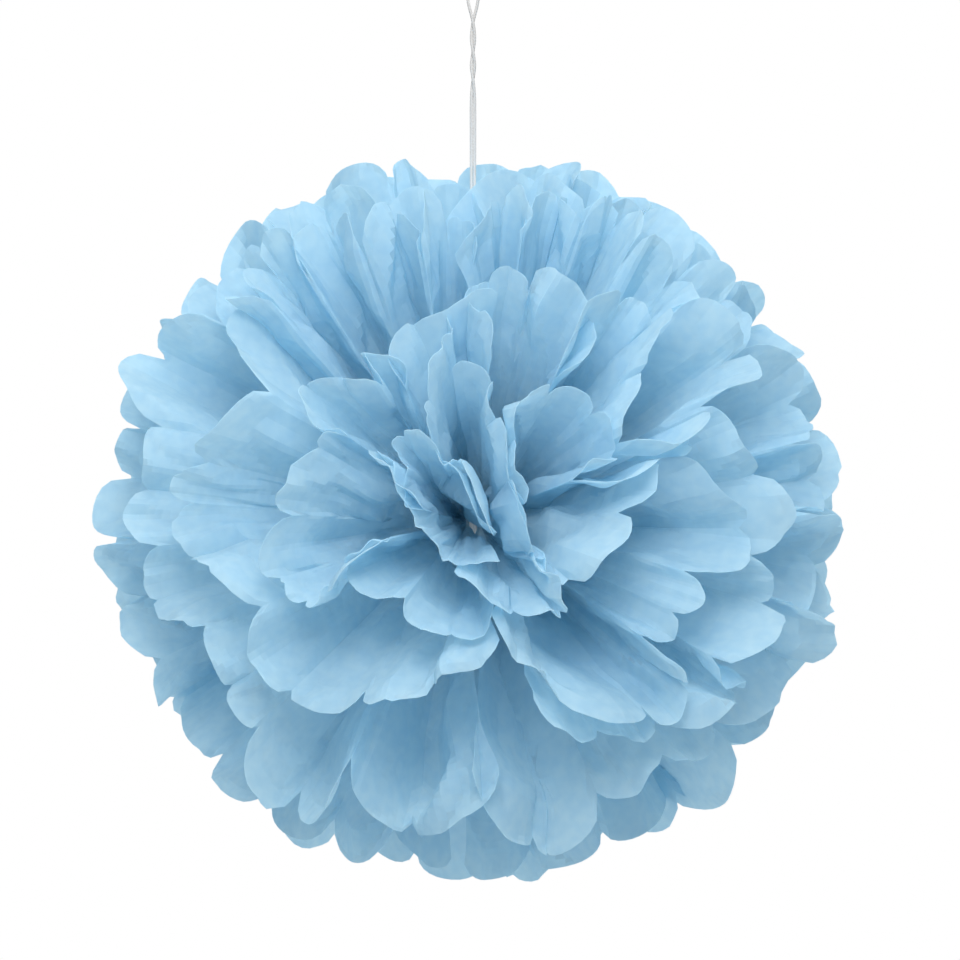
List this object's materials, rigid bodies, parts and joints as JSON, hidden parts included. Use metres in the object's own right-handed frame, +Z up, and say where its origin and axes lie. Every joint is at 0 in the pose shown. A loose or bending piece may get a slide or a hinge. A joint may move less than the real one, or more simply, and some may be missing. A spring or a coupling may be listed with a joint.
{
  "type": "tissue paper pom-pom",
  "caption": "Hanging party decoration: pleated, scallop-edged tissue sheets bound at the middle and fluffed into a round puff, on a doubled string with a loop.",
  "frame": {"origin": "underside of the top of the string's loop, where a hook carries the pom-pom", "axes": "+Z up, along the hanging string; the face of the flower looks to -Y; +X to the right of that face"},
  "size_m": [0.4224, 0.419, 0.5204],
  "materials": {
    "tissue": "matt light blue tissue paper, thin enough to glow against light",
    "string": "white cotton string"
  },
  "bodies": {
    "root": {"tissue_sheet_01": "tissue", "tissue_sheet_02": "tissue", "tissue_sheet_03": "tissue", "tissue_sheet_04": "tissue", "tissue_sheet_05": "tissue", "tissue_sheet_06": "tissue", "tissue_sheet_07": "tissue", "tissue_sheet_08": "tissue", "tissue_sheet_09": "tissue", "tissue_sheet_10": "tissue", "waist_binding": "string", "hanging_string": "string"}
  },
  "joints": []
}
